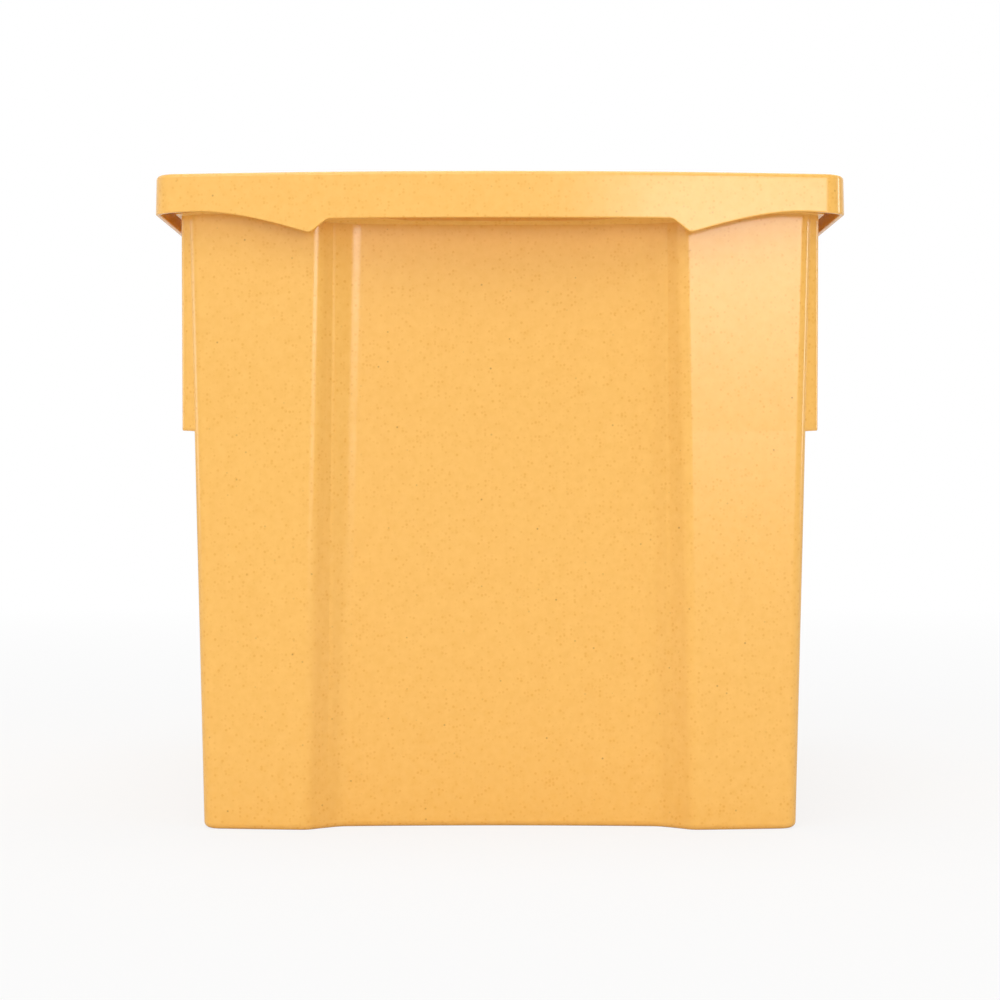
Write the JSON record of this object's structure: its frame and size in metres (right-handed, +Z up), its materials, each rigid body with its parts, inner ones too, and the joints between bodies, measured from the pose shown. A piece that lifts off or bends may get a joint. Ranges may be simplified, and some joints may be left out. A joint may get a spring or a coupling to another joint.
{
  "type": "moulded storage tub with lift-off lid",
  "caption": "Tapered moulded plastic box that nests when empty, with recessed ends, side lugs, a flared collar and a lift-off lid whose skirt has a wavy lower edge.",
  "frame": {"origin": "middle of the tub's base, on the surface that it stands on", "axes": "+Z up, +Y along the long side, -Y towards the end that the picture shows"},
  "size_m": [0.316, 0.43, 0.301],
  "materials": {
    "tub_plastic": "honey-orange speckled bio-filled plastic, semi-gloss",
    "lid_plastic": "honey-orange speckled bio-filled plastic, semi-gloss"
  },
  "bodies": {
    "tub": {"tub": "tub_plastic"},
    "lid": {"lid": "lid_plastic"}
  },
  "joints": [
    {"name": "lid_lift", "type": "slide", "parent": "tub", "child": "lid", "axis": [0, 0, 1], "range_m": [0, 0.1]}
  ]
}
